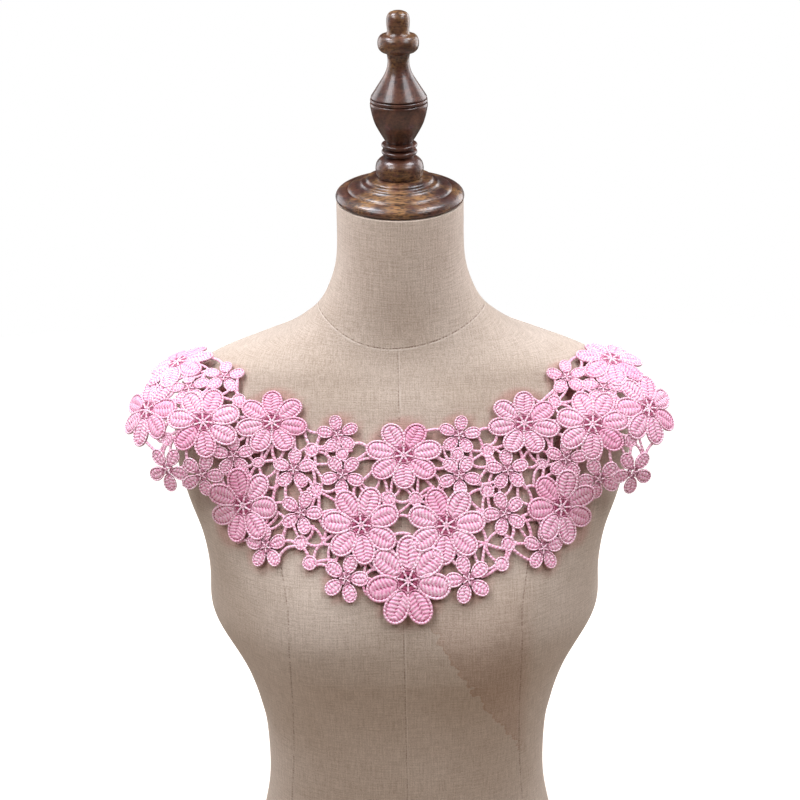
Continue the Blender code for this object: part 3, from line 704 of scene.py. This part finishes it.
def petalForm(kind):
    # a closed flat petal, or disc, round its own motif's middle; x is along, y aside, z height
    bm = bmesh.new()
    rings, radius = petalRelief["rings"], petalRelief["radius"][kind]
    around = petalRelief["around"][kind]
    verts, turn, ring = gridParts(bm, around, len(rings) - 1, stitchLayers)
    layers = {name: bm.verts.layers.float[name] for name in stitchLayers}
    turns = 2 * pi * np.arange(around + 1) / around
    if kind:
        root, halfWidth = collar["fineShapes"][kind]
        fromRoot, fromTip = petalRelief["vein"]
        line = radius * petalLine(root, halfWidth, turns)
        vein = np.clip(line[:, 0], radius * (root + fromRoot), radius * (1.0 - fromTip))
        spine = np.column_stack((vein, 0 * vein))
    else:
        line = radius * circle(turns)
        spine = 0 * line
    inwards = spine - line
    widths = np.linalg.norm(inwards, axis=1)
    inwards /= widths[:, None]
    size = petalRelief["scale"][kind]
    squeeze = np.minimum(1.0, widths / (petalRelief["full"] * size)) * size
    runs = np.append(0, np.cumsum(np.linalg.norm(np.diff(line, axis=0), axis=1)))
    groove = petalRelief["groove"] * squeeze
    paintedShadeDepth = petalRelief["paintedShadeDepth"][kind]
    deepRun, deepest = petalRelief["paintedRootShade"]
    deep = np.clip(1.0 - (line[:, 0] - line[:, 0].min()) / deepRun, 0, 1) if kind else 0 * runs
    tall = petalRelief["flattest"] + (1 - petalRelief["flattest"]) * size
    for vert, t, r in zip(verts, turn, ring):
        m = int(round(t * around))
        form, reach, height, rim, dip, under = rings[int(round(r * (len(rings) - 1)))]
        if form == "rim":
            inward = reach * squeeze[m]
        elif form == "leaf":
            inward = groove[m] + reach * (widths[m] - groove[m])
        else:
            inward = widths[m]
        x, y = line[m] + inwards[m] * inward
        vert.co = (x, y, height * tall)
        shift = stitches["leaf"] / 2 if y > 0 else 0.0  # the two halves' stitches alternate
        vert[layers["leafRun"]] = x - petalRelief["slant"] * abs(y) + shift
        vert[layers["rimRun"]] = runs[m]
        vert[layers["rim"]] = rim
        vert[layers["groove"]] = dip * paintedShadeDepth
        # painted shade: deep pink on the petal's edge and underside, and on its root beside the eye
        vert[layers["under"]] = max(under * paintedShadeDepth, deepest * deep[m] if rim else 0.0)
    bmesh.ops.remove_doubles(bm, verts=bm.verts, dist=mergeDistance)
    bmesh.ops.dissolve_degenerate(bm, edges=bm.edges, dist=mergeDistance / 2)
    bmesh.ops.recalc_face_normals(bm, faces=bm.faces)
    return meshFrom("petalForm", bm)


def cordForm():
    # a closed length of cord: x is 0 to 1 along it, y and z are its round section, and its tone
    # holds how far round each point is
    bm = bmesh.new()
    steps, around = 9, 10
    verts, run, turn = gridParts(bm, steps, around, stitchLayers)
    twist = bm.verts.layers.float["tone"]
    for vert, r, t in zip(verts, run, turn):
        place = int(round(r * steps))
        fat = 0.0 if place in (0, steps) else 1.0
        angle = 2 * pi * t - pi / 2
        vert.co = (np.clip((place - 1) / (steps - 2), 0, 1), fat * cos(angle), fat * sin(angle))
        vert[twist] = t
    bmesh.ops.remove_doubles(bm, verts=bm.verts, dist=mergeDistance)
    return meshFrom("cordForm", bm)


def ballForm():
    bm = bmesh.new()
    for name in stitchLayers:
        bm.verts.layers.float.new(name)
    bmesh.ops.create_uvsphere(bm, u_segments=14, v_segments=8, radius=1.0)
    run = bm.verts.layers.float["leafRun"]
    for vert in bm.verts:
        vert[run] = stitches["knot"] * vert.co.x
    return meshFrom("ballForm", bm)


def layerValues(mesh, name):
    found = np.zeros(len(mesh.vertices), dtype=np.float32)
    mesh.attributes[name].data.foreach_get("value", found)
    return found


def pointPlaces(mesh):
    found = np.zeros(3 * len(mesh.vertices), dtype=np.float32)
    mesh.vertices.foreach_get("co", found)
    return found.reshape(-1, 3).astype(float)


def addShape(bm, form, points, tone, extra=None):
    # a copy of a form in the piece, with its vertices at these points
    mesh = form.copy()
    mesh.vertices.foreach_set("co", points.astype(np.float32).ravel())
    mesh.attributes["tone"].data.foreach_set("value", np.full(len(points), tone, np.float32))
    for name, found in (extra or {}).items():
        mesh.attributes[name].data.foreach_set("value", np.asarray(found, np.float32))
    bm.from_mesh(mesh)
    bpy.data.meshes.remove(mesh)


def addLaid(bm, form, place, flat, height, tone):
    points, normals = onDrape(layFlat(place, flat))
    addShape(bm, form, points + normals * height[:, None], tone)


cords = {
    "pitch": 3.0,  # mm along a cord for one turn of its twist
    "flat": 0.85, "knotFlat": 0.55,  # height over width
    "slightly": 0.02,  # the share of a cord either way that gives its direction
    # painted shade: below this share of a cord's radius it is painted this deep a pink
    "paintedUndersideShade": (-0.5, 0.45),  # below this share of its radius it is this deep a pink
    "barHeight": 1.15, "barRadius": 1.15, "bow": 0.2, "barPoints": 7,
    "barThickness": (0.88, 1.1), "barTone": (0.7, 1),
    "knot": (1.9, 1.2, 0.3),  # a knot between bars: radius, height and tone
    # by petals: radius of the eye's knot, its spokes and the cord round it, and how deep
    # a painted pink shade that cord has, standing in for the shade in the eye's holes
    "eye": {7: (2.2, 0.8, 2.3, 1.0), 5: (1.1, 0.55, 1.5, 0.55)},
    "eyeLift": (1.0, 1.7, -0.1), "eyeTone": (0.2, 0.0, 0.3),  # of knot, spokes and cord
    # where spokes end and the cord runs, from the petals' roots in flower's radii
    "spokeEnd": 0.05, "ringAt": -0.03, "ringCords": 6, "ringOverlap": 0.02,
}


def addCord(bm, form, chart, thick, height, tone, deep=0.0):
    # a cord over places in the leaning plane; it follows the lace's surface
    local = pointPlaces(form)
    shares = np.linspace(0, 1, len(chart))

    def along(share):
        return onDrape(np.column_stack([np.interp(share, shares, chart[:, k]) for k in (0, 1)]))

    points, normals = along(local[:, 0])
    ahead, _ = along(np.minimum(local[:, 0] + cords["slightly"], 1.0))
    behind, _ = along(np.maximum(local[:, 0] - cords["slightly"], 0.0))
    side = np.cross(normals, ahead - behind)
    side /= np.linalg.norm(side, axis=1)[:, None]
    length = np.sum(np.linalg.norm(np.diff(onDrape(chart)[0], axis=0), axis=1))
    points = points + side * (local[:, 1] * thick)[:, None]
    points = points + normals * (height + cords["flat"] * thick * local[:, 2])[:, None]
    twist = local[:, 0] * length / cords["pitch"] + layerValues(form, "tone")
    # painted shade: a cord's lower side is painted deep pink, and a cord given a depth is painted that
    # deep all round
    low, deepest = cords["paintedUndersideShade"]
    extra = {"rimRun": twist * stitches["rim"], "rim": np.ones(len(local)),
             "under": np.where(local[:, 2] > low, deep, deepest)}
    addShape(bm, form, points, tone, extra)


threadLook = {
    # the ramps go from painted shade between threads, through the threads' own pink, to a painted
    # highlight on their crests
    "stops": (0.05, 0.42, 0.80),  # between threads, on them and at their crests
    "leaf": ("#E27BA5", "#F5B0CC", "#FFDEEA"), "rim": ("#F0A0BF", "#F9C5D9", "#FFE6EF"),
    # on the next line, the second colour is painted shade for the grooves' pinholes and the third is
    # painted shade for undersides
    "deeper": "#EC86B0", "paintedPinholeShade": "#A82A5E", "paintedUndersideShade": "#9E2A5A",
    "shine": "#FFD0E2", "sheen": "#FF9CC4",
    "unevenSize": 4.34783, "fibreSize": 1.42857,  # mm: how often stitches wander, and fibres vary
}


def threadMaterial():
    # Rayon embroidery thread, satin stitched over a washed-away ground: close shiny threads
    # that lie side by side, with a painted highlight on their crests and painted deep pink shade in
    # between.
    # Real threads are 0.4 mm wide, and a stitch of several shows as 2 mm.
    made, node, shader = newMaterial("pinkRayonThread")
    look = threadLook
    read = {name: node("Attribute", {"attribute_name": name}).outputs["Fac"]
            for name in stitchLayers}
    place = node("TexCoord").outputs["Object"]
    jitter = node("TexNoise", None, place, Scale=perMetre(look["unevenSize"]), Detail=1.0)
    fibres = node("TexNoise", None, place, Scale=perMetre(look["fibreSize"]), Detail=2.0)

    def stitchWave(run, uneven, length):
        run = node("Math", timesPlus, jitter, uneven, run)
        return node("Math", sine, node("Math", times, run, 2 * pi / length))

    stitch = node("Mix", mixValue, read["rim"], stitchWave(read["leafRun"], 1.3, stitches["leaf"]),
                  stitchWave(read["rimRun"], 1.2, stitches["rim"]))
    # painted highlight on the stitches' crests and painted shade between them, broken up by the fibres
    paintedCrestLight = node("Math", plus, node("Math", timesPlus, stitch, 0.2, 0.55),
                 node("Math", timesPlus, fibres, 1.5, -0.75))
    leaf, rim = [node("ValToRGB", {"stops": list(zip(look["stops"], look[part]))}, paintedCrestLight)
                 for part in ("leaf", "rim")]
    shade = node("Mix", mixColour, read["rim"], leaf, rim)
    deeper = node("Math", {"operation": "POWER"}, read["tone"], 3.0)
    deeper = node("Math", times, deeper, 0.42)
    shade = node("Mix", mixColour, deeper, shade, rgba(look["deeper"]))

    # painted shade: dark pinholes painted between the stitches, all along the grooves
    pinholeShadeMask = node("Math", plus, node("Math", timesPlus, stitch, -1.1, 0.55),
                    node("Math", timesPlus, jitter, 2.4, -1.2))
    pinholeShadeMask = node("Clamp", None, pinholeShadeMask, 0.1, 0.95)
    pinholeShadeMask = node("Math", times, read["groove"], pinholeShadeMask)
    shade = node("Mix", mixColour, pinholeShadeMask, shade, rgba(look["paintedPinholeShade"]))
    # painted shade: deep pink on edges, undersides, petal roots and the eye's cords
    under = node("Math", times, read["under"], 0.9)
    shade = node("Mix", mixColour, under, shade, rgba(look["paintedUndersideShade"]))
    height = node("Math", plus, stitch, node("Math", times, fibres, 0.8))
    bump = node("Bump", None, Strength=0.5, Distance=0.0004, Height=height)
    setInputs(shader, Base_Color=shade, Normal=bump, Roughness=0.5, Specular_IOR_Level=0.5,
              Specular_Tint=rgba(look["shine"]), Sheen_Weight=0.2, Sheen_Roughness=0.35,
              Sheen_Tint=rgba(look["sheen"]))
    return made


# How each flower differs from the next. By petals: how high it lies, large ones over small
# ones, and the deepest that its tone gets.
laying = {"lift": {7: 0.7, 5: 0.35, 0: 0.1}, "deepest": {7: 1.0, 5: 0.6, 0: 0.6}, "loose": 0.5,
          "turn": 0.02, "tilt": 0.035, "overlap": 0.03, "curl": 0.9}


def addPetals(bm, motif, forms, level):
    kind = motif["petals"]
    radius = petalRelief["radius"][kind]
    squash = np.array((1.0, motif["tall"]))
    local = pointPlaces(forms[kind])
    for k in range(max(kind, 1)):
        way = radians(motif["turn"]) + 2 * pi * k / max(kind, 1) + luck.normal(0, laying["turn"])
        flat = motif["radius"] / radius * turned(local, way)
        tip = (local[:, 0] / radius) ** 2
        tilt = luck.uniform(-laying["tilt"], laying["tilt"]) + laying["overlap"] * (1 if k % 2 else -1)
        curl = luck.uniform(0.0, laying["curl"])
        height = local[:, 2] + level + curl * tip + tilt * local[:, 1]
        tone = luck.uniform(0, laying["deepest"][kind])
        addLaid(bm, forms[kind], motif["place"], flat * squash, height, tone)


def addBall(bm, form, place, squash, radius, height, tone):
    local = pointPlaces(form)
    addLaid(bm, form, place, local[:, :2] * radius * squash,
            height + local[:, 2] * radius * cords["knotFlat"], tone)


def addEye(bm, motif, forms, level):
    # a knot of thread in the middle, held by thin bars across the open eye of the flower
    kind, radius, place = motif["petals"], motif["radius"], motif["place"]
    squash = np.array((1.0, motif["tall"]))
    root = collar["fineShapes"][kind][0]
    knot, spoke, ring, deep = cords["eye"][kind]
    knotAt, spokeAt, ringAt = (level + lift for lift in cords["eyeLift"])
    knotTone, spokeTone, ringTone = cords["eyeTone"]
    addBall(bm, forms["ball"], place, squash, knot, knotAt, knotTone)
    first = radians(motif["turn"])
    line = np.linspace(knot / 2, radius * (root + cords["spokeEnd"]), 4)
    for turn in first + (np.arange(kind) + 0.5) * 2 * pi / kind:
        flat = np.outer(line, (cos(turn), sin(turn))) * squash
        addCord(bm, forms["cord"], layFlat(place, flat), spoke, spokeAt, spokeTone)
    # the cord round the eye is painted deep pink shade, so that the eye's holes look shaded
    for k in range(cords["ringCords"]):
        share = np.linspace(k, k + 1 + cords["ringOverlap"], 5) / cords["ringCords"]
        flat = radius * (root + cords["ringAt"]) * circle(first + 2 * pi * share) * squash
        addCord(bm, forms["cord"], layFlat(place, flat), ring, ringAt, ringTone, deep)


def bowed(a, b):
    # a bar's way from end to end, a little to one side and into the motifs that it ties
    run = (b - a) / max(np.linalg.norm(b - a), mergeDistance)
    a, b = a - run * collar["barRoot"], b + run * collar["barRoot"]
    share = np.linspace(0, 1, cords["barPoints"])[:, None]
    bow = luck.uniform(-1, 1) * cords["bow"] * np.linalg.norm(b - a)
    return a + (b - a) * share + np.array((-run[1], run[0])) * bow * 4 * share * (1 - share)


def buildCollar():
    motifs = motifList()
    forms = {kind: petalForm(kind) for kind in petalRelief["radius"]}
    forms.update(cord=cordForm(), ball=ballForm())
    thread = threadMaterial()
    petals, eyes, bars = bmesh.new(), bmesh.new(), bmesh.new()
    for motif in motifs:
        if motif["radius"] < collar["knot"]:
            addBall(eyes, forms["ball"], motif["place"], np.ones(2), *cords["knot"])
            continue
        level = laying["lift"][motif["petals"]] + luck.uniform(0, laying["loose"])
        addPetals(petals, motif, forms, level)
        if motif["petals"]:
            addEye(eyes, motif, forms, level)
    for a, b in threadBars(motifs):
        thick = cords["barRadius"] * luck.uniform(*cords["barThickness"])
        path = bowed(a, b)
        addCord(bars, forms["cord"], path, thick, cords["barHeight"], luck.uniform(*cords["barTone"]))
    made = [finishPiece(name, bm, thread) for name, bm in
            (("laceCollar", petals), ("laceEyes", eyes), ("laceBars", bars))]
    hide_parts("lace_collar")


# The room and its camera, in metres and degrees.
studio = {
    "floor": 3.0, "floorDrop": 0.0005, "paper": "#BFB2A4",
    "fade": (0.15, 0.45, 0.55),  # the paper turns white between these radii, from this glow
    "air": "#FFEBDC", "airStrength": 0.08,
    "cameraPlace": (-0.00187, -0.90498, 0.74748), "pitch": 15.0, "roll": 0.7,
    "sensor": 36.0, "focus": 1.4375,  # mm, and the focal length in picture widths
    "lit": (0.0, 0.0, 0.5),  # where the lamps point
}
# Softboxes above, high at both sides and behind, so that what overhangs shades what is below:
# name, place, size, watts and tint.
softboxes = (
    ("steepLeft", (-0.5, -0.1, 1.6), (0.4, 0.4), 11.0, "#F2F6FF"),
    ("steepRight", (0.5, -0.1, 1.6), (0.4, 0.4), 8.0, "#F2F6FF"),
    ("frontLeft", (-0.7, -0.7, 1.4), (0.5, 0.5), 8.5, "#FAFBFF"),
    ("frontRight", (0.7, -0.7, 1.4), (0.5, 0.5), 6.5, "#FAFBFF"),
    ("middleLeft", (-1.2, 0.1, 0.9), (0.6, 0.9), 2.0, "#FAFBFF"),
    ("middleRight", (1.2, 0.1, 0.9), (0.6, 0.9), 2.0, "#FAFBFF"),
    ("backLeft", (-0.9, 0.7, 1.0), (0.7, 0.9), 6.0, "#FAFBFF"),
    ("backRight", (0.9, 0.7, 1.0), (0.7, 0.9), 8.0, "#FAFBFF"),
)


def paperMaterial():
    # Matt white studio paper with a painted glow that only the camera sees: the glow is weaker near
    # the form, where its soft shadow falls, and makes it plain white farther out.
    made, node, shader = newMaterial("glowingWhitePaper")
    place = node("TexCoord").outputs["Object"]
    reach = node("VectorMath", {"operation": "LENGTH"}, place)
    glow = node("MapRange", None, reach, *studio["fade"])
    # painted glow: the paper emits this light for camera rays only
    glow = node("Math", times, node("LightPath").outputs["Is Camera Ray"], glow)
    setInputs(shader, Base_Color=rgba(studio["paper"]), Roughness=0.9, Specular_IOR_Level=0.1,
              Emission_Color=(1, 1, 1, 1), Emission_Strength=glow)
    return made


def buildRoom():
    bm = bmesh.new()
    bmesh.ops.create_circle(bm, cap_ends=True, segments=96, radius=studio["floor"])
    bmesh.ops.translate(bm, vec=(0, 0, -studio["floorDrop"]), verts=bm.verts)
    mesh = meshFrom("studioFloor", bm)
    mesh.materials.append(paperMaterial())
    addObject("studioFloor", mesh)
    world = bpy.data.worlds.new("studioWorld")
    bpy.context.scene.world = world
    world.use_nodes = True
    tree = world.node_tree
    node = partial(addNode, tree)
    seen = node("LightPath").outputs["Is Camera Ray"]
    air = node("Background", None, rgba(studio["air"]), studio["airStrength"])
    shown = setInputs(tree.nodes["Background"], (1, 1, 1, 1), 1.0)
    both = node("MixShader", None, seen, air, shown)
    setInputs(tree.nodes["World Output"], Surface=both)


def buildLights():
    for name, place, size, power, tint in softboxes:
        lamp = bpy.data.lights.new(name, "AREA")
        lamp.shape = "RECTANGLE"
        lamp.size, lamp.size_y = size
        lamp.energy = power
        lamp.color = colour(tint)
        light = addObject(name, lamp)
        light.location = place
        towards = Vector(studio["lit"]) - Vector(place)
        light.rotation_euler = towards.to_track_quat("-Z", "Y").to_euler()
        light.visible_camera = False


def buildCamera():
    pitch, roll = radians(studio["pitch"]), radians(studio["roll"])
    ahead = Vector((0, cos(pitch), -sin(pitch)))
    above = Vector((0, sin(pitch), cos(pitch)))
    right = Vector((1, 0, 0))
    up = above * cos(roll) + right * sin(roll)
    side = right * cos(roll) - above * sin(roll)
    camera = bpy.data.cameras.new("camera")
    camera.sensor_width = studio["sensor"]
    camera.lens = studio["sensor"] * studio["focus"]
    camera.clip_start = 0.05
    held = addObject("camera", camera)
    turn = Matrix((side, up, -ahead)).transposed().to_4x4()
    held.matrix_world = Matrix.Translation(studio["cameraPlace"]) @ turn
    bpy.context.scene.camera = held


def build():
    makeDrape(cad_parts["dress_form"])
    print("drape worked out")
    buildForm()
    walnut = walnutMaterial()
    buildTurned("walnutCap", turnedParts["cap"], walnut, "neck_cap")
    buildTurned("walnutFinial", turnedParts["finial"], walnut, "finial")
    buildCollar()
    buildRoom()
    buildLights()
    buildCamera()
    bpy.context.scene.view_settings.view_transform = "Standard"
    print("room, lights and camera set")


build()
